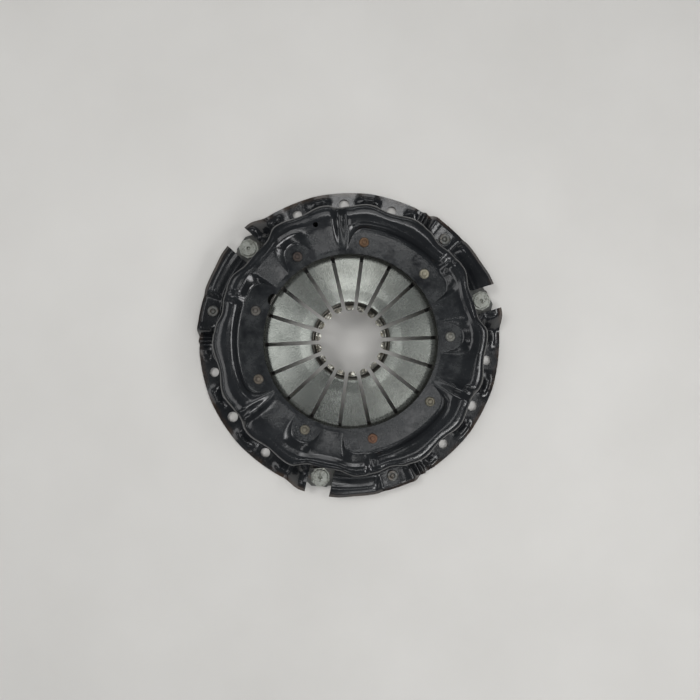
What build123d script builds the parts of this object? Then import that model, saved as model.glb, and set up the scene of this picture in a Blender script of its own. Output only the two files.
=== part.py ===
"""Diaphragm-spring clutch cover assembly (clutch pressure plate) for a push-type car clutch.

Frame: Z is the clutch axis and points from the flywheel to the gearbox. Z = 0 is the face of the
cover that bolts to the flywheel. One of the three groups of bolt holes is centred on +Y.
The assembly is drawn free, before it is bolted down, with the spring's fingers fully raised.
All lengths are millimetres and all angles are degrees, counter-clockwise from +X.
"""

import os
from math import atan2, cos, hypot, radians, sin, sqrt, tan

from build123d import *

os.makedirs("parts", exist_ok=True)

# ---------------------------------------------------------------- driving dimensions
SECTORS = 3  # the cover repeats in three equal sectors
SECTOR = 360 / SECTORS
FIRST_GROUP = 90  # where the middle bolt hole of the first sector stands

# Radii, all taken outwards or inwards from the rim of the pressure plate.
PLATE_OUTER_R = 116.5
PLATE_INNER_R = PLATE_OUTER_R - 38.5
PIVOT_R = PLATE_INNER_R + 1.6
OPENING_R = PIVOT_R - 1.7
RIVET_CIRCLE_R = PIVOT_R + 8.9
SPRING_OUTER_R = PLATE_OUTER_R - 7.5
FULCRUM_R = SPRING_OUTER_R - 3.0
LUG_RIVET_R = PLATE_OUTER_R + 13.5
STRAP_RIVET_R = LUG_RIVET_R + 1.0
LUG_END_R = LUG_RIVET_R + 8.8
BOLT_R = PLATE_OUTER_R + 17.0
COVER_R = BOLT_R + 11.0

# Cover: one pressed sheet.
SHEET = 3.5
FLANGE_TOP = 42.0
RIDGE_TOP = 50.0
RIDGE_CROWN = 2.2  # the shoulders of the ridge lie this much below its middle
SEAT_TOP = 3.4  # top of the bolting seats
SEAT_TRIM = SHEET - SEAT_TOP  # machined off the underside so that the seats lie in one plane
SWELL_RISE = 1.2  # edges of the stiffening swells between the seats
SWELL_CROWN = 1.9  # their middle stands this much higher still
TUNNEL_TOP = 21.5  # shoulders of the rim where it rises over the straps
TUNNEL_CROWN = 1.8  # the middle of that rim stands this much higher
TUNNEL_VALLEY = 18.8
TUNNEL_GROOVE = 2.5  # extra width between the wall and that rim
STRAP_PAD_TOP = 17.0
PAD_CREST = 1.4  # the rim beside the pad stands this much above it
LAND_WIDTH = 11.6  # flat land from a diaphragm rivet outwards
LAND_REACH = 8.6  # and past the middle of each rounded end, in degrees
SLOPE_LIP_R = OPENING_R + 3.5  # between lands only a narrow flat lip is left round the opening
GROOVE_DEPTH = 4.2
GROOVE_ANGLE = 3.4
GROOVE_HALF = 3.6  # half its width, in degrees
NOTCH_DEPTH = 2.8  # a shallower groove beside the straps
NOTCH_ANGLE = 66.8
NOTCH_HALF = 3.2
RIM_ROLL = 3.0  # how far the outer edge of a raised section turns down

# Holes in the cover.
BOLT_HOLE_D = 9.0
DOWEL_HOLE_D = 10.0
BOLT_PITCH = 20.0
BOLT_SEAT_D = 17.0
WINDOW_WIDTH = 23.0
WINDOW_INNER_R = PLATE_OUTER_R - 3.0
WINDOW_CORNER = 2.5
GAUGE_NOTCH_R = 5.3
GAUGE_NOTCH_ANGLE = 149.6
BALANCE_HOLE_D = 4.4
BALANCE_HOLE_R = PLATE_OUTER_R - 10.0
BALANCE_HOLE_ANGLE = 14.6

# Diaphragm spring.
FINGERS = 18
SPRING_T = 2.5
SPRING_TIP_R = 27.2
SPRING_CONE = 9.8
SPRING_BEND_R = 45.6
SPRING_INNER_CONE = 13.0
SPRING_CORNERS = (12.0, 3.4, 0.9)  # radii of its upper bends, from the outside in
TIP_STEP_OUTER_R = 34.2
TIP_STEP_INNER_R = 31.8
TIP_STEP = 2.6
TIP_DROOP = 0.2
SLOT_WIDTH = 3.3
SLOT_MOUTH = 0.95  # half width of the flared mouth at the tips, in slot widths
SLOT_WINDOW_LENGTH = 11.0
SLOT_WINDOW_WIDTH = 9.0
SLOT_WINDOW_CORNER = 3.0

# Pivot of the spring.
PIVOT_WIRE_D = 3.6
PIVOT_CLEARANCE = 0.3  # each ring to the spring
DIAPHRAGM_RIVETS = 9
RIVET_SHANK_D = 6.0
RIVET_HEAD_D = 8.7
RIVET_HEAD_H = 1.7
HEAD_BEVEL = 0.8  # of every rivet that shows a ring on its head
HEAD_RING_R = 2.1  # middle of that ring
HEAD_RING_DEPTH = 0.5
RIVET_HOLE_CLEARANCE = 0.1  # radial, shank to hole
RIVET_SEAT_CLEARANCE = 0.02
RIVET_COLLAR_D = 16.6
RIVET_COLLAR_H = 2.4

# Pressure plate casting.
FRICTION_FACE = 4.0
PLATE_EDGE_TOP = 15.0
PLATE_INNER_TOP = 17.6
FULCRUM_WIDTH = 5.0
FULCRUM_CLEARANCE = 0.3
FULCRUM_GAPS = 9
FULCRUM_GAP_WIDTH = 9.0
FULCRUM_GAP_START = 20.0
FULCRUM_GAP_FLOOR = PLATE_INNER_TOP + 2.5

# Lugs and straps.
LUG_ANGLE = 45.0  # from the middle bolt hole of the sector
STRAP_ANGLE = 75.0
LUG_WIDTH = 18.0
LUG_ROOT = 9.0  # how far the lugs run into the ring
LUG_UNDERSIDE = 4.8
LUG_CORNER = 2.5
LEAVES = 3
LEAF_T = 0.75
LEAF_GAP = 0.04
LEAF_WIDTH = 17.0
LEAF_END = 10.0  # from the rivet to the end of the shortest leaf
LEAF_STEP = 1.6  # each leaf below is this much longer at the lug end
LEAF_CORNER = 4.6
LUG_WASHER_WIDTH = 17.0
LUG_WASHER_T = 1.0
LUG_WASHER_CORNER = 4.8
LUG_HEAD_D = 14.6
LUG_HEAD_H = 1.0
LUG_HEAD_BEVEL = 0.4
LUG_DIMPLE_D = 3.6
LUG_DIMPLE_DEPTH = 1.4
STRAP_HEAD_D = 10.6
STRAP_HEAD_H = 1.7
STRAP_TAIL_D = 10.0
STRAP_TAIL_H = 2.0
STRAP_SPOT_D = 12.4
PAD_LENGTH = 28.0
PAD_WIDTH = LEAF_WIDTH + 2.5

# ---------------------------------------------------------------- worked out from them
FLANGE_UNDERSIDE = FLANGE_TOP - SHEET
UPPER_RING_Z = FLANGE_UNDERSIDE - RIVET_SEAT_CLEARANCE - PIVOT_WIRE_D / 2
SPRING_HALF = SPRING_T / 2 / cos(radians(SPRING_CONE))
PIVOT_Z = UPPER_RING_Z - PIVOT_WIRE_D / 2 - PIVOT_CLEARANCE - SPRING_HALF
LOWER_RING_Z = PIVOT_Z - SPRING_HALF - PIVOT_CLEARANCE - PIVOT_WIRE_D / 2
COLLAR_TOP = LOWER_RING_Z - PIVOT_WIRE_D / 2 - RIVET_SEAT_CLEARANCE


def spring_z(radius):
    """Height of the spring's middle surface on its main cone."""
    return PIVOT_Z + (PIVOT_R - radius) * tan(radians(SPRING_CONE))


FULCRUM_TOP = spring_z(FULCRUM_R) - SPRING_HALF - FULCRUM_CLEARANCE
LEAF_PACK = LEAVES * LEAF_T + (LEAVES - 1) * LEAF_GAP
STRAP_PAD_UNDERSIDE = STRAP_PAD_TOP - SHEET + SEAT_TRIM
STRAP_PAD_SEAT = STRAP_PAD_TOP - SEAT_TRIM
LEAF_PACK_TOP = STRAP_PAD_UNDERSIDE - RIVET_SEAT_CLEARANCE
LEAF_PACK_BOTTOM = LEAF_PACK_TOP - LEAF_PACK
LUG_SEAT = LEAF_PACK_BOTTOM - RIVET_SEAT_CLEARANCE
RIVET_HOLE_D = RIVET_SHANK_D + 2 * RIVET_HOLE_CLEARANCE
GROUPS = [FIRST_GROUP + SECTOR * i for i in range(SECTORS)]


# ---------------------------------------------------------------- helpers
def polar(radius, angle):
    """Point at a radius and an angle in the XY plane."""
    return (radius * cos(radians(angle)), radius * sin(radians(angle)))


def radial_plane(angle):
    """Plane through the axis: local X points outwards and local Y up."""
    along, across = cos(radians(angle)), sin(radians(angle))
    return Plane(origin=(0, 0, 0), x_dir=(along, across, 0), z_dir=(across, -along, 0))


def eased(keys, angle, column=1):
    """Value at an angle, eased between neighbouring keys, each an angle and its values."""
    for low, high in zip(keys, keys[1:]):
        if angle <= high[0]:
            share = min(max((angle - low[0]) / (high[0] - low[0]), 0), 1)
            return low[column] + (high[column] - low[column]) * share * share * (3 - 2 * share)
    return keys[-1][column]


def beside(points, distance):
    """The same path moved to its right by a distance, with mitred corners."""
    moved = []
    for i, (x, y) in enumerate(points):
        ends = [pair for pair in (points[i - 1 : i + 1], points[i : i + 2]) if len(pair) == 2]
        ways = []
        for (x0, y0), (x1, y1) in ends:
            length = hypot(x1 - x0, y1 - y0)
            ways.append(((x1 - x0) / length, (y1 - y0) / length))
        across, down = sum(way[1] for way in ways), -sum(way[0] for way in ways)
        length = hypot(across, down)
        across, down = across / length, down / length
        spread = across * ways[0][1] - down * ways[0][0]
        moved.append((x + across * distance / spread, y + down * distance / spread))
    return moved


def turn_at(before, here, after):
    """Signed angle by which a path turns at a point, in radians; a left turn is positive."""
    x0, y0 = here[0] - before[0], here[1] - before[1]
    x1, y1 = after[0] - here[0], after[1] - here[1]
    return atan2(x0 * y1 - y0 * x1, x0 * x1 + y0 * y1)


def between(start, end, length):
    """Point at a length from the start of a straight run."""
    share = length / hypot(end[0] - start[0], end[1] - start[1])
    return (start[0] + (end[0] - start[0]) * share, start[1] + (end[1] - start[1]) * share)


def rounded(points, radii):
    """Straight runs and Bezier corners along a path, as lists of control points."""
    pieces = []
    here = points[0]
    for before, corner, after, radius in zip(points, points[1:], points[2:], radii):
        turn = abs(turn_at(before, corner, after))
        room = 0.44 * min(
            hypot(corner[0] - before[0], corner[1] - before[1]),
            hypot(after[0] - corner[0], after[1] - corner[1]),
        )
        cut = min(max(radius * tan(turn / 2), 0.35), room)
        bulge = 2 / 3 if turn < 1e-3 else 4 / 3 * tan(turn / 4) / tan(turn / 2)
        start, end = between(corner, before, cut), between(corner, after, cut)
        lead = between(start, corner, bulge * cut)
        trail = between(end, corner, bulge * cut)
        pieces += [[here, start], [start, lead, trail, end]]
        here = end
    return pieces + [[here, points[-1]]]


# ---------------------------------------------------------------- cover
# Each key is (angle from the middle bolt hole, value). The section starts in the plain rim beside
# the first bolt seat and runs once round the sector.
START, END = -32.0, 88.0
SECTION_STEP = 2.0
SWELL_TOP = SEAT_TOP + SWELL_RISE
LAND_R = RIVET_CIRCLE_R + LAND_WIDTH
LAND_END, LONE_LAND, LAND_START = -10.0, 30.0, 61.0  # middles of the rounded ends of the lands
# Distance beyond the rim of the plate.
RIDGE_INNER_KEYS = (
    (START, -12.5),
    (-12, -12.5),
    (-2, -14.5),
    (16, -14.5),
    (26, -10.5),
    (34, -10.5),
    (44, -13.5),
    (48, -13.5),
    (57, -10),
    (64, -10),
    (74, -12.5),
    (END, -12.5),
)
RIDGE_OUTER_KEYS = (
    (START, 5),
    (-20, 1.5),
    (-10, 5),
    (0, 2),
    (10, 5),
    (20, 2),
    (31, 4.5),
    (39, -3),
    (51, -3),
    (60, 2.5),
    (66, 2),
    (75, -1),
    (82, 3),
    (END, 5),
)
WALL_FOOT_KEYS = (
    (START, 14.5),
    (-28.5, 15),
    (-20, 8),
    (-9.5, 15),
    (0, 9.5),
    (9.5, 14.5),
    (20, 9),
    (28, 13.5),
    (38, 11.5),
    (48, 9),
    (68, 9),
    (75, 7),
    (80, 8.5),
    (END, 14.5),
)
# Distance of the edge beyond the rim's plain radius.
RIM_REACH_KEYS = ((START, 0), (30, 0), (38, 1), (52, 1), (60, -0.6), (81, -0.6), (END, 0))
# Heights.
RIDGE_TOP_KEYS = (
    (START, RIDGE_TOP),
    (GROOVE_ANGLE - GROOVE_HALF, RIDGE_TOP),
    (GROOVE_ANGLE, RIDGE_TOP - GROOVE_DEPTH),
    (GROOVE_ANGLE + GROOVE_HALF, RIDGE_TOP),
    (NOTCH_ANGLE - NOTCH_HALF, RIDGE_TOP),
    (NOTCH_ANGLE, RIDGE_TOP - NOTCH_DEPTH),
    (NOTCH_ANGLE + NOTCH_HALF, RIDGE_TOP),
    (END, RIDGE_TOP),
)
VALLEY_KEYS = (
    (START, SEAT_TOP),
    (31, SEAT_TOP),
    (39, TUNNEL_VALLEY),
    (67, TUNNEL_VALLEY),
    (70, STRAP_PAD_TOP),
    (81.5, STRAP_PAD_TOP),
    (87, SEAT_TOP),
    (END, SEAT_TOP),
)
# Heights of the rim: of its shoulders, and how much higher its middle stands.
RIM_KEYS = (
    (START, SEAT_TOP, 0),
    (-31, SEAT_TOP, 0),
    (-29, SWELL_TOP, SWELL_CROWN),
    (-27.5, SWELL_TOP, SWELL_CROWN),
    (-25, SEAT_TOP, 0),
    (-15, SEAT_TOP, 0),
    (-12.5, SWELL_TOP, SWELL_CROWN),
    (-7.5, SWELL_TOP, SWELL_CROWN),
    (-5, SEAT_TOP, 0),
    (5, SEAT_TOP, 0),
    (7.5, SWELL_TOP, SWELL_CROWN),
    (12.5, SWELL_TOP, SWELL_CROWN),
    (15, SEAT_TOP, 0),
    (25, SEAT_TOP, 0),
    (27.5, SWELL_TOP, SWELL_CROWN),
    (31, SWELL_TOP, SWELL_CROWN),
    (39, TUNNEL_TOP, TUNNEL_CROWN),
    (67, TUNNEL_TOP, TUNNEL_CROWN),
    (70, STRAP_PAD_TOP, 0),
    (80, STRAP_PAD_TOP, 0),
    (82, STRAP_PAD_TOP + PAD_CREST, 0),
    (87, SEAT_TOP, 0),
    (END, SEAT_TOP, 0),
)
CORNER_RADII = (4.0, 7.0, 16.0, 7.0, 4.5, 3.0, 9.0, 3.0)


def land_edge(angle):
    """How far out the flat round the opening reaches: full width along a land, rounded at its ends."""
    if angle <= LAND_END or angle >= LAND_START:
        return LAND_R
    nearest = min(abs(angle - rivet) for rivet in (LAND_END, LONE_LAND, LAND_START))
    width = sqrt(max(1 - (nearest / LAND_REACH) ** 2, 0))
    return SLOPE_LIP_R + (LAND_R - SLOPE_LIP_R) * width


def cover_outline(angle):
    """Corners of the sheet's upper surface, from the opening out to the rim."""
    foot = PLATE_OUTER_R + eased(WALL_FOOT_KEYS, angle)
    ridge = eased(RIDGE_TOP_KEYS, angle)
    ridge_inner = PLATE_OUTER_R + eased(RIDGE_INNER_KEYS, angle)
    ridge_outer = PLATE_OUTER_R + eased(RIDGE_OUTER_KEYS, angle)
    rim = eased(RIM_KEYS, angle)
    edge = COVER_R + eased(RIM_REACH_KEYS, angle)
    raised = (rim - SEAT_TOP) / (TUNNEL_TOP - SEAT_TOP)
    arched = max((rim - STRAP_PAD_TOP) / (TUNNEL_TOP - STRAP_PAD_TOP), 0)
    shoulder = foot + SHEET + TUNNEL_GROOVE * arched
    outer_shoulder = edge - SHEET
    return [
        (OPENING_R, FLANGE_TOP),
        (land_edge(angle), FLANGE_TOP),
        (ridge_inner, ridge - RIDGE_CROWN),
        ((ridge_inner + ridge_outer) / 2, ridge),
        (ridge_outer, ridge - RIDGE_CROWN),
        (foot, eased(VALLEY_KEYS, angle)),
        (shoulder, rim),
        ((shoulder + outer_shoulder) / 2, rim + eased(RIM_KEYS, angle, 2)),
        (outer_shoulder, rim),
        (edge, rim - RIM_ROLL * raised),
    ]


def draw(pieces):
    """Draw straight runs and Bezier corners into the current line."""
    for piece in pieces:
        if len(piece) == 2:
            Line(*piece)
        else:
            Bezier(*piece)


def cover_section(angle):
    """Closed section of the sheet at an angle of the sector, standing in its radial plane."""
    upper = cover_outline(angle)
    under = beside(upper, SHEET)
    radii = []
    for before, corner, after, radius in zip(upper, upper[1:], upper[2:], CORNER_RADII):
        outside = turn_at(before, corner, after) > 0
        radii.append(max(radius + (SHEET if outside else -SHEET), 0.8))
    with BuildSketch(radial_plane(FIRST_GROUP + angle)) as section:
        with BuildLine():
            draw(rounded(upper, CORNER_RADII))
            Line(upper[-1], under[-1])
            draw([piece[::-1] for piece in rounded(under, radii)[::-1]])
            Line(under[0], upper[0])
        make_face()
    return section.sketch


STEPS = round((END - START) / SECTION_STEP)
SECTIONS = [cover_section(START + (END - START) * i / STEPS) for i in range(STEPS + 1)]
with BuildPart() as sector:
    loft(SECTIONS)

BOLT_ANGLES = [group + turn for group in GROUPS for turn in (-BOLT_PITCH, 0, BOLT_PITCH)]
CLEAR_ABOVE = 60.0  # longer than any cut through the cover
WINDOW_OUTER_R = COVER_R + 2 * SHEET  # past the rim, so the windows are open to the outside

with BuildPart() as cover:
    add(sector.part)
    for i in range(1, SECTORS):
        add(sector.part.rotate(Axis.Z, SECTOR * i))
    # Trim the underside of the seats into one plane.
    with BuildSketch(Plane.XY):
        Circle(COVER_R + 2 * SHEET)
    extrude(amount=-SHEET, mode=Mode.SUBTRACT)
    # Spot-face and drill the nine bolt seats.
    with BuildSketch(Plane.XY.offset(SEAT_TOP - SEAT_TRIM)):
        with Locations(*[polar(BOLT_R, angle) for angle in BOLT_ANGLES]):
            Circle(BOLT_SEAT_D / 2)
    extrude(amount=SWELL_RISE + SWELL_CROWN, mode=Mode.SUBTRACT)
    with BuildSketch(Plane.XY):
        with Locations(*[polar(BOLT_R, angle) for angle in BOLT_ANGLES if angle not in GROUPS]):
            Circle(BOLT_HOLE_D / 2)
        with Locations(*[polar(BOLT_R, angle) for angle in GROUPS]):
            Circle(DOWEL_HOLE_D / 2)
    extrude(amount=SEAT_TOP + SWELL_RISE + SWELL_CROWN, mode=Mode.SUBTRACT)
    # Windows for the three lugs, open to the outside.
    for group in GROUPS:
        middle = polar((WINDOW_INNER_R + WINDOW_OUTER_R) / 2, group + LUG_ANGLE)
        across = polar(1, group + LUG_ANGLE)
        with BuildSketch(Plane(origin=(*middle, 0), x_dir=(*across, 0), z_dir=(0, 0, 1))):
            RectangleRounded(WINDOW_OUTER_R - WINDOW_INNER_R, WINDOW_WIDTH, WINDOW_CORNER)
        extrude(amount=CLEAR_ABOVE, mode=Mode.SUBTRACT)
    # Level both faces of the strap pads where the leaves and the rivet heads bear.
    for group in GROUPS:
        pad = polar(STRAP_RIVET_R, group + STRAP_ANGLE)
        outwards = polar(1, group + STRAP_ANGLE)
        below = Plane(origin=(*pad, STRAP_PAD_UNDERSIDE), x_dir=(*outwards, 0), z_dir=(0, 0, 1))
        with BuildSketch(below):
            Rectangle(PAD_WIDTH, PAD_LENGTH)
        extrude(amount=-SHEET / 2, mode=Mode.SUBTRACT)
        with BuildSketch(Plane.XY.offset(STRAP_PAD_SEAT)):
            with Locations(pad):
                Circle(STRAP_SPOT_D / 2)
        extrude(amount=SHEET / 2, mode=Mode.SUBTRACT)
    # Rivet holes for the spring and for the straps, the gauge notch and the balance hole.
    with BuildSketch(Plane.XY.offset(SEAT_TOP)):
        with PolarLocations(RIVET_CIRCLE_R, DIAPHRAGM_RIVETS):
            Circle(RIVET_HOLE_D / 2)
        with Locations(*[polar(STRAP_RIVET_R, group + STRAP_ANGLE) for group in GROUPS]):
            Circle(RIVET_HOLE_D / 2)
        with Locations(polar(OPENING_R, GAUGE_NOTCH_ANGLE)):
            Circle(GAUGE_NOTCH_R)
        with Locations(polar(BALANCE_HOLE_R, FIRST_GROUP + BALANCE_HOLE_ANGLE)):
            Circle(BALANCE_HOLE_D / 2)
    extrude(amount=CLEAR_ABOVE, mode=Mode.SUBTRACT)
cover.part.label = "cover"
export_step(cover.part, "parts/cover.step")


# ---------------------------------------------------------------- diaphragm spring
INNER_RISE = (SPRING_BEND_R - TIP_STEP_OUTER_R) * tan(radians(SPRING_INNER_CONE))
BEND_Z = spring_z(SPRING_BEND_R)
SPRING_PATH = [
    (SPRING_OUTER_R, spring_z(SPRING_OUTER_R)),
    (SPRING_BEND_R, BEND_Z),
    (TIP_STEP_OUTER_R, BEND_Z + INNER_RISE),
    (TIP_STEP_INNER_R, BEND_Z + INNER_RISE - TIP_STEP),
    (SPRING_TIP_R, BEND_Z + INNER_RISE - TIP_STEP - TIP_DROOP),
]

outer_bend, tip_crest, tip_foot = SPRING_CORNERS
SPRING_UNDER_CORNERS = (outer_bend + SPRING_T, tip_foot, tip_crest)

with BuildPart() as diaphragm_spring:
    with BuildSketch(Plane.XZ):
        with BuildLine():
            upper = beside(SPRING_PATH, SPRING_T / 2)
            under = beside(SPRING_PATH, -SPRING_T / 2)
            draw(rounded(upper, SPRING_CORNERS))
            Line(upper[-1], under[-1])
            draw([piece[::-1] for piece in rounded(under, SPRING_UNDER_CORNERS)[::-1]])
            Line(under[0], upper[0])
        make_face()
    revolve(axis=Axis.Z)
    # Slots between the fingers, with a flared mouth at the tips and a window round each rivet.
    with BuildSketch(Plane.XY):
        with PolarLocations(0, FINGERS):
            with Locations(((RIVET_CIRCLE_R + SPRING_TIP_R) / 2, 0)):
                Rectangle(RIVET_CIRCLE_R - SPRING_TIP_R + 2 * SPRING_T, SLOT_WIDTH)
        with PolarLocations(RIVET_CIRCLE_R, FINGERS):
            RectangleRounded(SLOT_WINDOW_LENGTH, SLOT_WINDOW_WIDTH, SLOT_WINDOW_CORNER)
        with PolarLocations(SPRING_TIP_R, FINGERS):
            RegularPolygon(SLOT_WIDTH * SLOT_MOUTH, 4)
    extrude(amount=CLEAR_ABOVE, mode=Mode.SUBTRACT)
diaphragm_spring.part.label = "diaphragm_spring"
export_step(diaphragm_spring.part, "parts/diaphragm_spring.step")


# ---------------------------------------------------------------- pivot rings and rivets
with BuildPart() as upper_pivot_ring:
    with BuildSketch(Plane.XZ):
        with Locations((PIVOT_R, UPPER_RING_Z)):
            Circle(PIVOT_WIRE_D / 2)
    revolve(axis=Axis.Z)
upper_pivot_ring.part.label = "upper_pivot_ring"
export_step(upper_pivot_ring.part, "parts/upper_pivot_ring.step")

with BuildPart() as lower_pivot_ring:
    with BuildSketch(Plane.XZ):
        with Locations((PIVOT_R, LOWER_RING_Z)):
            Circle(PIVOT_WIRE_D / 2)
    revolve(axis=Axis.Z)
lower_pivot_ring.part.label = "lower_pivot_ring"
export_step(lower_pivot_ring.part, "parts/lower_pivot_ring.step")


def rivet_section(levels, head_height):
    """Half section of a rivet: (radius, height) steps from the bottom, under a bevelled head."""
    head_radius, seat = levels[-1]
    top = seat + head_height
    path = [(0, levels[0][1])]
    for low, high in zip(levels, levels[1:]):
        path += [(low[0], low[1]), (low[0], high[1])]
    with BuildSketch() as section:
        with BuildLine():
            Polyline(
                *path,
                (head_radius, seat),
                (head_radius, top - HEAD_BEVEL),
                (head_radius - HEAD_BEVEL, top),
                (HEAD_RING_R + HEAD_RING_DEPTH, top),
                (HEAD_RING_R, top - HEAD_RING_DEPTH),
                (HEAD_RING_R - HEAD_RING_DEPTH, top),
                (0, top),
                close=True,
            )
        make_face()
    return section.sketch


RIVET_SECTION = rivet_section(
    [
        (RIVET_COLLAR_D / 2, COLLAR_TOP - RIVET_COLLAR_H),
        (RIVET_SHANK_D / 2, COLLAR_TOP),
        (RIVET_HEAD_D / 2, FLANGE_TOP + RIVET_SEAT_CLEARANCE),
    ],
    RIVET_HEAD_H,
)
with BuildPart() as diaphragm_rivets:
    for i in range(DIAPHRAGM_RIVETS):
        place = polar(RIVET_CIRCLE_R, 360 / DIAPHRAGM_RIVETS * i)
        with BuildSketch(Plane(origin=(*place, 0), x_dir=(1, 0, 0), z_dir=(0, -1, 0))):
            add(RIVET_SECTION)
        revolve(axis=Axis(origin=(*place, 0), direction=(0, 0, 1)))
diaphragm_rivets.part.label = "diaphragm_rivets"
export_step(diaphragm_rivets.part, "parts/diaphragm_rivets.step")


# ---------------------------------------------------------------- pressure plate
with BuildPart() as pressure_plate:
    with BuildSketch(Plane.XZ):
        with BuildLine():
            Polyline(
                (PLATE_INNER_R, FRICTION_FACE + 1),
                (PLATE_INNER_R + 1, FRICTION_FACE),
                (PLATE_OUTER_R - 1, FRICTION_FACE),
                (PLATE_OUTER_R, FRICTION_FACE + 1),
                (PLATE_OUTER_R, FRICTION_FACE + 6),
                (PLATE_OUTER_R - 3.5, PLATE_EDGE_TOP),
                (FULCRUM_R + FULCRUM_WIDTH, PLATE_EDGE_TOP + 1.5),
                (FULCRUM_R + FULCRUM_WIDTH / 2, FULCRUM_TOP - 1.5),
                (FULCRUM_R + FULCRUM_WIDTH / 2 - 1.5, FULCRUM_TOP),
                (FULCRUM_R - FULCRUM_WIDTH / 2 + 1.5, FULCRUM_TOP),
                (FULCRUM_R - FULCRUM_WIDTH / 2, FULCRUM_TOP - 1.5),
                (FULCRUM_R - FULCRUM_WIDTH - 1, PLATE_INNER_TOP + 1.5),
                (FULCRUM_R - FULCRUM_WIDTH * 1.8, PLATE_INNER_TOP),
                (PLATE_INNER_R + 2, PLATE_INNER_TOP - 0.6),
                (PLATE_INNER_R, PLATE_INNER_TOP - 2.6),
                close=True,
            )
        make_face()
    revolve(axis=Axis.Z)
    # Gaps in the fulcrum ridge let air through.
    with BuildSketch(Plane.XY.offset(FULCRUM_GAP_FLOOR)):
        with PolarLocations(FULCRUM_R, FULCRUM_GAPS, start_angle=FULCRUM_GAP_START):
            Rectangle(FULCRUM_WIDTH * 3, FULCRUM_GAP_WIDTH)
    extrude(amount=CLEAR_ABOVE, mode=Mode.SUBTRACT)
    # Lugs for the straps, each with a gusset back to the ring.
    for group in GROUPS:
        outwards = polar(1, group + LUG_ANGLE)
        lug_plane = Plane(origin=(0, 0, LUG_UNDERSIDE), x_dir=(*outwards, 0), z_dir=(0, 0, 1))
        inside = PLATE_OUTER_R - LUG_ROOT
        with BuildSketch(lug_plane) as lug:
            with Locations(((inside + LUG_END_R) / 2, 0)):
                Rectangle(LUG_END_R - inside, LUG_WIDTH)
            fillet(lug.vertices(), LUG_CORNER)
        extrude(amount=LUG_SEAT - LUG_UNDERSIDE)
        with BuildSketch(lug_plane):
            with Locations((LUG_RIVET_R, 0)):
                Circle(RIVET_HOLE_D / 2)
        extrude(amount=LUG_SEAT - LUG_UNDERSIDE, mode=Mode.SUBTRACT)
pressure_plate.part.label = "pressure_plate"
export_step(pressure_plate.part, "parts/pressure_plate.step")


# ---------------------------------------------------------------- straps and their rivets
TAIL_TOP = LEAF_PACK_BOTTOM - RIVET_SEAT_CLEARANCE
LUG_TAIL_TOP = LUG_UNDERSIDE - RIVET_SEAT_CLEARANCE
STRAP_RIVET_SECTION = rivet_section(
    [
        (STRAP_TAIL_D / 2, TAIL_TOP - STRAP_TAIL_H),
        (RIVET_SHANK_D / 2, TAIL_TOP),
        (STRAP_HEAD_D / 2, STRAP_PAD_SEAT + RIVET_SEAT_CLEARANCE),
    ],
    STRAP_HEAD_H,
)
WASHER_SEAT = LEAF_PACK_TOP + RIVET_SEAT_CLEARANCE
LUG_HEAD_SEAT = WASHER_SEAT + LUG_WASHER_T + RIVET_SEAT_CLEARANCE
LUG_HEAD_TOP = LUG_HEAD_SEAT + LUG_HEAD_H
with BuildSketch() as LUG_RIVET_SECTION:
    with BuildLine():
        Polyline(
            (0, LUG_TAIL_TOP - STRAP_TAIL_H),
            (STRAP_TAIL_D / 2, LUG_TAIL_TOP - STRAP_TAIL_H),
            (STRAP_TAIL_D / 2, LUG_TAIL_TOP),
            (RIVET_SHANK_D / 2, LUG_TAIL_TOP),
            (RIVET_SHANK_D / 2, LUG_HEAD_SEAT),
            (LUG_HEAD_D / 2, LUG_HEAD_SEAT),
            (LUG_HEAD_D / 2, LUG_HEAD_TOP - LUG_HEAD_BEVEL),
            (LUG_HEAD_D / 2 - LUG_HEAD_BEVEL, LUG_HEAD_TOP),
            (LUG_DIMPLE_D / 2, LUG_HEAD_TOP),
            (LUG_DIMPLE_D / 4, LUG_HEAD_TOP - LUG_DIMPLE_DEPTH),
            (0, LUG_HEAD_TOP - LUG_DIMPLE_DEPTH),
            close=True,
        )
    make_face()

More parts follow.
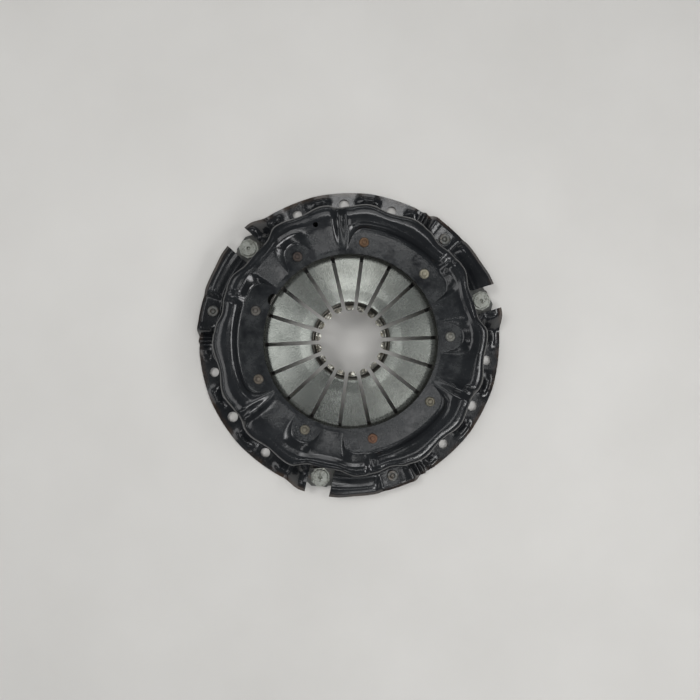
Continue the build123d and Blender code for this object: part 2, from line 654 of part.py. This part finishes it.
for index, group in enumerate(GROUPS, start=1):
    lug_at = polar(LUG_RIVET_R, group + LUG_ANGLE)
    pad_at = polar(STRAP_RIVET_R, group + STRAP_ANGLE)
    chord = hypot(pad_at[0] - lug_at[0], pad_at[1] - lug_at[1])
    way = ((pad_at[0] - lug_at[0]) / chord, (pad_at[1] - lug_at[1]) / chord)

    for leaf in range(LEAVES):
        underside = LEAF_PACK_TOP - LEAF_T - leaf * (LEAF_T + LEAF_GAP)
        tail = LEAF_END + LEAF_STEP * leaf
        leaf_plane = Plane(origin=(*lug_at, underside), x_dir=(*way, 0), z_dir=(0, 0, 1))
        with BuildPart() as strap_leaf:
            with BuildSketch(leaf_plane) as blade:
                with Locations(((chord + LEAF_END - tail) / 2, 0)):
                    Rectangle(chord + LEAF_END + tail, LEAF_WIDTH)
                chamfer(blade.vertices(), LEAF_CORNER)
                with Locations((0, 0), (chord, 0)):
                    Circle(RIVET_HOLE_D / 2, mode=Mode.SUBTRACT)
            extrude(amount=LEAF_T)
        strap_leaf.part.label = f"strap_{index}_leaf_{leaf + 1}"
        export_step(strap_leaf.part, f"parts/strap_{index}_leaf_{leaf + 1}.step")

    with BuildPart() as lug_washer:
        with BuildSketch(Plane(origin=(*lug_at, WASHER_SEAT), x_dir=(*way, 0), z_dir=(0, 0, 1))) as square:
            Rectangle(LUG_WASHER_WIDTH, LUG_WASHER_WIDTH)
            chamfer(square.vertices(), LUG_WASHER_CORNER)
            Circle(RIVET_HOLE_D / 2, mode=Mode.SUBTRACT)
        extrude(amount=LUG_WASHER_T)
    lug_washer.part.label = f"lug_washer_{index}"
    export_step(lug_washer.part, f"parts/lug_washer_{index}.step")

    with BuildPart() as strap_rivet:
        with BuildSketch(Plane(origin=(*pad_at, 0), x_dir=(1, 0, 0), z_dir=(0, -1, 0))):
            add(STRAP_RIVET_SECTION)
        revolve(axis=Axis(origin=(*pad_at, 0), direction=(0, 0, 1)))
    strap_rivet.part.label = f"strap_rivet_{index}"
    export_step(strap_rivet.part, f"parts/strap_rivet_{index}.step")

    with BuildPart() as lug_rivet:
        with BuildSketch(Plane(origin=(*lug_at, 0), x_dir=(1, 0, 0), z_dir=(0, -1, 0))):
            add(LUG_RIVET_SECTION.sketch)
        revolve(axis=Axis(origin=(*lug_at, 0), direction=(0, 0, 1)))
    lug_rivet.part.label = f"lug_rivet_{index}"
    export_step(lug_rivet.part, f"parts/lug_rivet_{index}.step")
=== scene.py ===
"""Looks of a clutch pressure plate: a black pressed cover over a fingered diaphragm spring.

The row frame has the clutch axis on Z, the flywheel side at Z = 0 and the fingers on top.
Everything is in metres.
"""

import math

import bmesh
import bpy
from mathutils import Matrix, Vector


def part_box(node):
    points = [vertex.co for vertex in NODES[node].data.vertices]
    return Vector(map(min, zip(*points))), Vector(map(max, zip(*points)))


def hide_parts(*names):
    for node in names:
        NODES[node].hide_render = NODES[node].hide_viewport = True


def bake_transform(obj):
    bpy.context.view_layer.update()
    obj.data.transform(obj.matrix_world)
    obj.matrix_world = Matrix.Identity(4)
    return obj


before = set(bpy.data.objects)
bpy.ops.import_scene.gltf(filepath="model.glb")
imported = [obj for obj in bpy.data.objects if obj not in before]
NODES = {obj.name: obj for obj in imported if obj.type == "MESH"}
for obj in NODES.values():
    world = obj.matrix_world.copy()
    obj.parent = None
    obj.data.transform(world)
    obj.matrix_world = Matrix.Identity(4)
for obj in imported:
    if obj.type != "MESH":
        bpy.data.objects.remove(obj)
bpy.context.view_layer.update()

# Camera, as the photograph was taken: nearly straight down. Lens and sensor are in mm.
CAMERA_AT = (-0.0103, -0.01406, 0.4894)
CAMERA_TURN = (0.0144, -0.0196, -0.0433)
CAMERA_LENS = 25.93
CAMERA_SENSOR = 36.0
CAMERA_NEAR = 0.01

# The floor lies a hair under the flange, so that their faces don't coincide
FLOOR_GAP = 0.0001
FLOOR_HALF = 8.0

# Studio light: name, place, (width, height) as seen from the part, watts, whether gloss
# mirrors it. The key and the fills only light. The panels are also what the gloss mirrors.
LAMPS = (
    ("key", (-0.50, 0.32, 1.15), (0.30, 0.30), 4.2, False),
    ("fill_right", (0.42, 0.22, 1.18), (0.26, 0.26), 2.0, False),
    ("fill_front", (-0.08, -0.46, 1.18), (0.26, 0.26), 1.8, False),
    ("wall", (-0.78, 0.04, 1.10), (1.10, 0.45), 3.1, True),
    ("ceiling_back", (0.06, 0.74, 1.20), (0.60, 0.28), 0.9, True),
    ("ceiling", (0.16, 0.49, 1.25), (0.50, 0.14), 1.2, True),
    ("card", (0.24, -0.25, 1.25), (0.60, 0.14), 0.7, True),
    ("pane", (-0.10, -0.41, 1.25), (0.10, 0.09), 0.3, True),
    ("window", (0.84, -0.04, 0.84), (0.50, 0.26), 2.6, True),
    ("window_front", (0.53, -0.63, 0.86), (0.50, 0.26), 3.2, True),
    ("left_strip", (-1.20, -0.10, 0.62), (1.2, 0.08), 1.0, True),
    ("front_strip", (0.10, -1.20, 0.66), (1.1, 0.10), 1.2, True),
    ("back_strip", (0.10, 1.25, 0.60), (1.1, 0.08), 1.0, True),
)
LAMP_TARGET = (0.0, 0.0, 0.02)
WORLD_TINT = (0.11, 0.114, 0.118)

# The spring tips about the centre line of its pivot wires, which is read from their ring to
# a tenth of a millimetre, and its rim lies on the plate's fulcrum ridge.
ring_low, ring_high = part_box("upper_pivot_ring")
wire_thickness = ring_high.z - ring_low.z
PIVOT_R = round((ring_high.x - ring_low.x - wire_thickness) / 2, 4)
FULCRUM_R = PIVOT_R + 0.0264
FINGERS = 18
FINGER_PITCH = 2 * math.pi / FINGERS
FINGER_STEP = 0.006  # between the cuts across a finger
FINGER_BLEND_END_R = 0.012  # where the cuts across a finger stop, inside the tips

# The strap leaves: three groups round the cover, with three leaves each
GROUPS = (1, 2, 3)
LEAVES = (1, 2, 3)
STRAP_STEP = 0.005  # between the cuts across a leaf
STRAP_TAIL_STEPS = 3  # steps past each rivet, to the end of the leaf

# Mesh work
WELD_DISTANCE = 2e-6
CUT_TOLERANCE = 1e-7
SHARP_ANGLE = math.radians(28)

# Where one finish gives way to the next, and where the painted shade on the spring's step ends:
# radii on the cover and the spring, and the height of the pressure plate's friction face
LAND_EDGE = (0.0985, 0.1005)
RIM_BAND = (0.1395, 0.1440)
TIP_EDGE = (0.0318, 0.0322)
TIP_STEP_EDGE = (0.0346, 0.0352)
FRICTION_FACE_TOP = (0.0046, 0.005)

# Tints of the nine rivets round the opening, counter-clockwise from +X
RIVET_TINTS = (
    (0.26, 0.26, 0.235),
    (0.36, 0.335, 0.26),
    (0.165, 0.100, 0.058),
    (0.085, 0.070, 0.063),
    (0.155, 0.146, 0.132),
    (0.19, 0.165, 0.135),
    (0.21, 0.195, 0.155),
    (0.195, 0.108, 0.072),
    (0.21, 0.195, 0.150),
)


# ---------------------------------------------------------------- node helper


class Shade:
    """A material being written: its Principled shader and short calls for its nodes."""

    def __init__(self, name, **sockets):
        self.material = bpy.data.materials.new(name)
        self.material.use_nodes = True
        self.tree = self.material.node_tree
        self.shader = self.tree.nodes["Principled BSDF"]
        self.place = self.add("ShaderNodeTexCoord").outputs["Object"]
        for socket, value in sockets.items():
            self.shader.inputs[socket.replace("_", " ")].default_value = value

    def add(self, kind, inputs=(), **settings):
        """A new node, with its settings and its inputs' values or links."""
        node = self.tree.nodes.new(kind)
        for key, value in settings.items():
            setattr(node, key, value)
        for key, value in dict(inputs).items():
            self.put(value, node.inputs[key])
        return node

    def put(self, value, socket):
        """Link an output to the socket, or set its number or colour."""
        if isinstance(value, bpy.types.NodeSocket):
            self.tree.links.new(value, socket)
        elif hasattr(value, "__len__") and socket.type == "RGBA" and len(value) == 3:
            socket.default_value = (*value, 1)
        else:
            socket.default_value = value

    def math(self, operation, a, b=0.0):
        return self.add("ShaderNodeMath", {0: a, 1: b}, operation=operation).outputs[0]

    def plus(self, a, b):
        return self.math("ADD", a, b)

    def times(self, a, b):
        return self.math("MULTIPLY", a, b)

    def noise(self, scale, detail=3.0, rough=0.55, source=None, distortion=0.0):
        """Noise with scale waves a metre, or a unit of the source."""
        values = {"Vector": source or self.place, "Scale": scale, "Detail": detail}
        values.update({"Roughness": rough, "Distortion": distortion})
        return self.add("ShaderNodeTexNoise", values).outputs["Fac"]

    def cells(self, scale):
        """Distance from the middle of scattered cells, with scale cells a metre."""
        values = {"Vector": self.place, "Scale": scale}
        return self.add("ShaderNodeTexVoronoi", values).outputs["Distance"]

    def span(self, source, low, high, out_low=0.0, out_high=1.0):
        """The range low to high spread over out_low to out_high, and held beyond it."""
        values = {"Value": source, "From Min": low, "From Max": high}
        values.update({"To Min": out_low, "To Max": out_high})
        return self.add("ShaderNodeMapRange", values, clamp=True).outputs[0]

    def mix(self, factor, a, b, blend="MIX"):
        """Colour a turning to colour b as the factor goes from 0 to 1."""
        node = self.add("ShaderNodeMix", data_type="RGBA", blend_type=blend)
        for value, socket in ((factor, 0), (a, 6), (b, 7)):
            self.put(value, node.inputs[socket])
        return node.outputs[2]

    def parts(self, vector):
        return self.add("ShaderNodeSeparateXYZ", {0: vector}).outputs

    def turn(self):
        """Angle round the clutch axis."""
        x, y, _ = self.parts(self.place)
        return self.math("ARCTAN2", y, x)

    def radius(self):
        """Distance from the clutch axis."""
        x, y, _ = self.parts(self.place)
        return self.math("SQRT", self.plus(self.times(x, x), self.times(y, y)))

    def height(self):
        return self.parts(self.place)[2]

    def turned(self, per_radian, outwards, rise):
        """Coordinates that run round the axis, outwards and up, for marks that follow the part."""
        node = self.add("ShaderNodeCombineXYZ")
        self.put(self.times(self.turn(), per_radian), node.inputs[0])
        self.put(self.times(self.radius(), outwards), node.inputs[1])
        self.put(self.times(self.height(), rise), node.inputs[2])
        return node.outputs[0]

    def facing(self):
        """1 where the surface faces up, 0 where it's upright, -1 where it faces down."""
        return self.parts(self.add("ShaderNodeNewGeometry").outputs["Normal"])[2]

    def colour(self, value):
        self.put(value, self.shader.inputs["Base Color"])

    def rough(self, value):
        self.put(value, self.shader.inputs["Roughness"])

    def bump(self, height, strength, distance, below=None):
        """A normal bumped by the height, up to distance metres, on top of the one below."""
        values = {"Height": height, "Strength": strength, "Distance": distance}
        if below is not None:
            values["Normal"] = below
        return self.add("ShaderNodeBump", values).outputs[0]

    def normal(self, value):
        self.put(value, self.shader.inputs["Normal"])


# ------------------------------------------------------------------ materials


def black_paint():
    """Glossy black dip paint: light orange peel, a dusty film, pale specks and a brownish rim."""
    m = Shade("black_paint", Specular_IOR_Level=0.55)
    cloud = m.noise(24, 5, 0.6)
    fine = m.noise(420, 4, 0.65)
    base = m.mix(m.span(cloud, 0.35, 0.7), (0.0055, 0.0061, 0.0072), (0.011, 0.0122, 0.0140))
    # The film lies on what faces up, and mostly on the land round the opening.
    radius = m.radius()
    film = m.times(m.span(m.facing(), 0.55, 0.98), m.span(m.noise(70, 6, 0.7), 0.38, 0.7))
    film = m.times(film, m.span(radius, *LAND_EDGE, 1.0, 0.25))
    base = m.mix(m.times(film, 0.3), base, (0.045, 0.050, 0.050))
    rim = m.times(m.span(radius, *RIM_BAND), m.span(m.noise(45, 5, 0.7), 0.42, 0.6))
    base = m.mix(m.times(rim, 0.55), base, (0.062, 0.036, 0.020))
    specks = m.span(m.cells(520), 0.05, 0.14, 1.0, 0.0)
    specks = m.times(specks, m.span(m.noise(35, 3), 0.5, 0.62))
    m.colour(m.mix(m.times(specks, 0.4), base, (0.13, 0.125, 0.11)))
    rough = m.plus(m.span(cloud, 0.3, 0.75, 0.10, 0.19), m.times(film, 0.22))
    m.rough(m.plus(rough, m.span(fine, 0.3, 0.7, -0.03, 0.04)))
    peel = m.bump(m.noise(650, 2, 0.5), 0.12, 0.0003)
    m.normal(m.bump(m.noise(130, 3, 0.5), 0.16, 0.0007, peel))
    return m.material


def spring_steel():
    """Grey-green spring steel: cloudy, finely rubbed, with bright worn tips and painted shade on
    the step down to them.
    """
    m = Shade("spring_steel", Metallic=0.95)
    cloud = m.noise(38, 6, 0.62, distortion=0.4)
    patch = m.noise(13, 4, 0.6)
    base = m.mix(m.span(cloud, 0.32, 0.72), (0.20, 0.213, 0.197), (0.33, 0.345, 0.32))
    base = m.mix(m.span(patch, 0.45, 0.72, 0.0, 0.4), base, (0.155, 0.155, 0.135))
    streak = m.noise(1.0, 4, 0.6, m.turned(300, 260, 300))
    base = m.mix(m.span(streak, 0.45, 0.75, 0.0, 0.35), base, (0.42, 0.43, 0.40))
    radius = m.radius()
    tip = m.span(radius, *TIP_EDGE, 1.0, 0.0)
    # Painted shade: the steep step down to the tips is coloured near black, as if in shadow.
    painted_step_shade = m.times(m.span(radius, *TIP_EDGE), m.span(radius, *TIP_STEP_EDGE, 1.0, 0.0))
    worn = m.span(m.noise(260, 5, 0.65), 0.40, 0.62)
    ground = m.mix(worn, (0.10, 0.085, 0.06), (0.50, 0.49, 0.44))
    base = m.mix(m.times(tip, 0.9), base, ground)
    m.colour(m.mix(m.times(painted_step_shade, 0.9), base, (0.035, 0.030, 0.024)))
    rough = m.span(cloud, 0.3, 0.75, 0.30, 0.20)
    rough = m.plus(rough, m.span(streak, 0.4, 0.7, 0.03, -0.04))
    m.rough(m.math("SUBTRACT", rough, m.times(tip, 0.06)))
    grain = m.bump(m.noise(900, 3, 0.6), 0.12, 0.0002)
    m.normal(m.bump(streak, 0.10, 0.0002, grain))
    return m.material


def strap_steel():
    """Dark blued leaves, cloudy, with traces of rust."""
    m = Shade("strap_steel", Metallic=0.9)
    cloud = m.noise(70, 5, 0.6)
    base = m.mix(m.span(cloud, 0.35, 0.7), (0.07, 0.072, 0.07), (0.17, 0.17, 0.16))
    rust = m.span(m.noise(140, 5, 0.7), 0.58, 0.7)
    m.colour(m.mix(m.times(rust, 0.45), base, (0.16, 0.075, 0.035)))
    m.rough(m.span(cloud, 0.3, 0.7, 0.34, 0.52))
    m.normal(m.bump(m.noise(800, 3, 0.6), 0.15, 0.0002))
    return m.material


def zinc(name, light, dark, stain_share):
    """Zinc plating: cloudy between light and dark, with dull pits and brown stains."""
    m = Shade(name, Metallic=0.85)
    cloud = m.noise(160, 4, 0.6)
    base = m.mix(m.span(cloud, 0.35, 0.68), dark, light)
    pits = m.span(m.noise(420, 4, 0.7), 0.36, 0.48, 0.7, 0.0)
    base = m.mix(pits, base, (0.06, 0.058, 0.050))
    stain = m.span(m.noise(230, 5, 0.7), 0.5, 0.66)
    m.colour(m.mix(m.times(stain, stain_share), base, (0.20, 0.115, 0.06)))
    m.rough(m.span(cloud, 0.3, 0.7, 0.3, 0.5))
    m.normal(m.bump(m.noise(1100, 3, 0.6), 0.2, 0.0002))
    return m.material


def pivot_rivets():
    """Rivets round the opening: dull plating in nine tints, two of them rusty."""
    m = Shade("pivot_rivets", Metallic=0.7)
    # Half a share more puts each rivet in the middle of its tint.
    turns = m.math("DIVIDE", m.turn(), 2 * math.pi)
    share = m.math("FRACT", m.plus(turns, 0.5 / len(RIVET_TINTS)))
    ramp = m.add("ShaderNodeValToRGB", {"Fac": share})
    ramp.color_ramp.interpolation = "CONSTANT"
    points = ramp.color_ramp.elements
    points.remove(points[1])
    for k, tint in enumerate(RIVET_TINTS):
        point = points[0] if k == 0 else points.new(k / len(RIVET_TINTS))
        point.color = (*tint, 1)
    cloud = m.noise(210, 4, 0.6)
    shade = m.mix(m.span(cloud, 0.35, 0.68), (0.55, 0.55, 0.55), (1.15, 1.15, 1.15))
    base = m.mix(1.0, ramp.outputs[0], shade, "MULTIPLY")
    stain = m.span(m.noise(300, 5, 0.7), 0.52, 0.66)
    m.colour(m.mix(m.times(stain, 0.4), base, (0.09, 0.055, 0.035)))
    m.rough(m.span(cloud, 0.3, 0.7, 0.34, 0.55))
    m.normal(m.bump(m.noise(1000, 3, 0.6), 0.25, 0.0003))
    return m.material


def wire():
    """Drawn steel wire, dull with oil."""
    m = Shade("wire", Metallic=0.95)
    cloud = m.noise(90, 4, 0.6)
    m.colour(m.mix(m.span(cloud, 0.35, 0.7), (0.05, 0.048, 0.044), (0.15, 0.147, 0.138)))
    m.rough(m.span(cloud, 0.3, 0.7, 0.28, 0.45))
    drawn = m.noise(1.0, 3, 0.6, m.turned(8, 2600, 2600))
    m.normal(m.bump(drawn, 0.12, 0.0002))
    return m.material


def iron():
    """Grey cast iron: pebbly, dark and a little rusty as cast, with a turned friction face."""
    m = Shade("iron")
    grain = m.noise(330, 5, 0.65)
    cast = m.mix(m.span(grain, 0.3, 0.7), (0.030, 0.030, 0.031), (0.085, 0.083, 0.080))
    rust = m.span(m.noise(48, 6, 0.7), 0.54, 0.72)
    cast = m.mix(m.times(rust, 0.5), cast, (0.13, 0.062, 0.030))
    turning = m.noise(1.0, 3, 0.6, m.turned(3, 3200, 60))
    cut_face = m.mix(m.span(turning, 0.3, 0.7), (0.20, 0.20, 0.195), (0.34, 0.34, 0.33))
    stain = m.span(m.noise(30, 4), 0.5, 0.75, 0.0, 0.35)
    cut_face = m.mix(stain, cut_face, (0.20, 0.13, 0.085))
    level = m.span(m.math("ABSOLUTE", m.facing()), 0.985, 0.995)
    machined = m.times(level, m.span(m.height(), *FRICTION_FACE_TOP, 1.0, 0.0))
    m.colour(m.mix(machined, cast, cut_face))
    m.put(m.span(machined, 0, 1, 0.35, 0.9), m.shader.inputs["Metallic"])
    m.rough(m.span(machined, 0, 1, 0.72, 0.36))
    skin = m.bump(grain, 0.45, 0.0006)
    m.normal(m.bump(turning, 0.15, 0.0002, skin))
    return m.material


def floor_paint():
    """Plain pale floor with the faintest unevenness."""
    m = Shade("floor", Roughness=0.75, Specular_IOR_Level=0.2)
    m.colour(m.mix(m.span(m.noise(6, 4), 0.3, 0.7), (0.52, 0.51, 0.49), (0.56, 0.55, 0.53)))
    return m.material


# -------------------------------------------------------------------- pieces


def placed(name, data):
    """A new object with this data, in the scene."""
    obj = bpy.data.objects.new(name, data)
    bpy.context.scene.collection.objects.link(obj)
    return obj


def dress(node, material):
    """Give a CAD node its only material."""
    materials = NODES[node].data.materials
    materials.clear()
    materials.append(material)


def mesh_of(node):
    """The node's mesh as a bmesh, with its doubled points joined."""
    bm = bmesh.new()
    bm.from_mesh(NODES[node].data)
    bmesh.ops.remove_doubles(bm, verts=bm.verts, dist=WELD_DISTANCE)
    return bm


def cut(bm, point, normal, drop=False):
    """Cut through the mesh, or, with drop, cut off the side the normal points to and close it."""
    parts = bm.verts[:] + bm.edges[:] + bm.faces[:]
    made = bmesh.ops.bisect_plane(
        bm,
        geom=parts,
        dist=CUT_TOLERANCE,
        plane_co=point,
        plane_no=normal,
        clear_outer=drop,
    )
    if drop:
        edges = [e for e in made["geom_cut"] if isinstance(e, bmesh.types.BMEdge)]
        edges = [e for e in edges if e.is_valid and len(e.link_faces) < 2]
        if edges:
            bmesh.ops.triangle_fill(bm, use_beauty=True, edges=edges)


def piece(bm, name, material):
    """A new object from the bmesh, smooth with sharp edges kept."""
    bmesh.ops.recalc_face_normals(bm, faces=bm.faces)
    mesh = bpy.data.meshes.new(name)
    bm.to_mesh(mesh)
    bm.free()
    for polygon in mesh.polygons:
        polygon.use_smooth = True
    mesh.set_sharp_from_angle(angle=SHARP_ANGLE)
    mesh.materials.append(material)
    return placed(name, mesh)


def spoke(angle, radius):
    """The point at this angle and radius, at height 0."""
    return Vector((radius * math.cos(angle), radius * math.sin(angle), 0))


def spring_piece(whole, index, outer, material):
    """One finger of the diaphragm spring or, if outer, the stretch of ring outside it."""
    start = index * FINGER_PITCH
    middle = start + FINGER_PITCH / 2
    pivot, out = spoke(middle, PIVOT_R), spoke(middle, 1)
    side = 1 if outer else -1
    bm = whole.copy()
    # Keep one side of the pivot, and of that one sector, from slot to slot.
    cut(bm, pivot, -side * out, drop=True)
    cut(bm, Vector(), spoke(start - math.pi / 2, 1), drop=True)
    cut(bm, Vector(), spoke(start + FINGER_PITCH + math.pi / 2, 1), drop=True)
    # Cut it across at steps.
    far = FULCRUM_R + FINGER_STEP if outer else FINGER_BLEND_END_R
    for k in range(1, int(abs(far - PIVOT_R) / FINGER_STEP) + 1):
        cut(bm, spoke(middle, PIVOT_R + side * k * FINGER_STEP), out)
    obj = piece(bm, f"spring_{'ring' if outer else 'finger'}_{index + 1:02d}", material)
    if outer:
        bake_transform(obj)
    else:
        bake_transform(obj)
    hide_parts("diaphragm_spring")


def spring(material):
    """The spring in pieces: each finger inwards of the pivot, and its stretch of ring outwards,
    cut across at steps.
    """
    whole = mesh_of("diaphragm_spring")
    for index in range(FINGERS):
        spring_piece(whole, index, False, material)
        spring_piece(whole, index, True, material)
    whole.free()


def middle_of(node):
    """Middle of the node's box, at height 0."""
    low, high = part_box(node)
    middle = (low + high) / 2
    middle.z = 0
    return middle


def straps(material):
    """Each leaf as a piece, cut across at steps between its rivet on the cover and its rivet on
    the plate's lug, and a little past them.
    """
    for group in GROUPS:
        fixed = middle_of(f"strap_rivet_{group}")
        moving = middle_of(f"lug_rivet_{group}")
        along = (moving - fixed).normalized()
        steps = int((moving - fixed).length / STRAP_STEP)
        for leaf in LEAVES:
            node = f"strap_{group}_leaf_{leaf}"
            bm = mesh_of(node)
            for k in range(-STRAP_TAIL_STEPS, steps + STRAP_TAIL_STEPS + 1):
                cut(bm, fixed + along * k * STRAP_STEP, along)
            obj = piece(bm, f"leaf_{group}_{leaf}", material)
            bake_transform(obj)
            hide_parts(node)


# --------------------------------------------------------------------- stage


def area_light(name, at, size, power, mirrored):
    light = bpy.data.lights.new(name, "AREA")
    light.shape = "RECTANGLE"
    light.size, light.size_y = size
    light.energy = power
    obj = placed(name, light)
    obj.location = at
    obj.rotation_euler = (Vector(LAMP_TARGET) - Vector(at)).to_track_quat("-Z", "Y").to_euler()
    obj.visible_glossy = mirrored


def stage():
    """The floor, the lamps and the dim surroundings."""
    bm = bmesh.new()
    bmesh.ops.create_grid(bm, x_segments=1, y_segments=1, size=FLOOR_HALF)
    mesh = bpy.data.meshes.new("floor")
    bm.to_mesh(mesh)
    bm.free()
    mesh.materials.append(floor_paint())
    floor = placed("floor", mesh)
    floor.location.z = -FLOOR_GAP
    for lamp in LAMPS:
        area_light(*lamp)
    world = bpy.data.worlds.new("studio")
    world.use_nodes = True
    background = world.node_tree.nodes["Background"]
    background.inputs["Color"].default_value = (*WORLD_TINT, 1)
    background.inputs["Strength"].default_value = 1.0
    bpy.context.scene.world = world
    bpy.context.scene.view_settings.view_transform = "Standard"


def camera():
    data = bpy.data.cameras.new("camera")
    data.lens = CAMERA_LENS
    data.sensor_width = CAMERA_SENSOR
    data.clip_start = CAMERA_NEAR
    obj = placed("camera", data)
    obj.location = CAMERA_AT
    obj.rotation_euler = CAMERA_TURN
    bpy.context.scene.camera = obj


camera()
stage()
dress("cover", black_paint())
dress("pressure_plate", iron())
dress("diaphragm_rivets", pivot_rivets())
ring_wire = wire()
for ring in ("upper_pivot_ring", "lower_pivot_ring"):
    dress(ring, ring_wire)
strap_zinc = zinc("strap_rivets", (0.20, 0.205, 0.20), (0.10, 0.10, 0.092), 0.3)
lug_zinc = zinc("lug_rivets", (0.42, 0.435, 0.40), (0.27, 0.28, 0.25), 0.1)
for group in GROUPS:
    dress(f"strap_rivet_{group}", strap_zinc)
    dress(f"lug_rivet_{group}", lug_zinc)
    dress(f"lug_washer_{group}", lug_zinc)
spring(spring_steel())
straps(strap_steel())
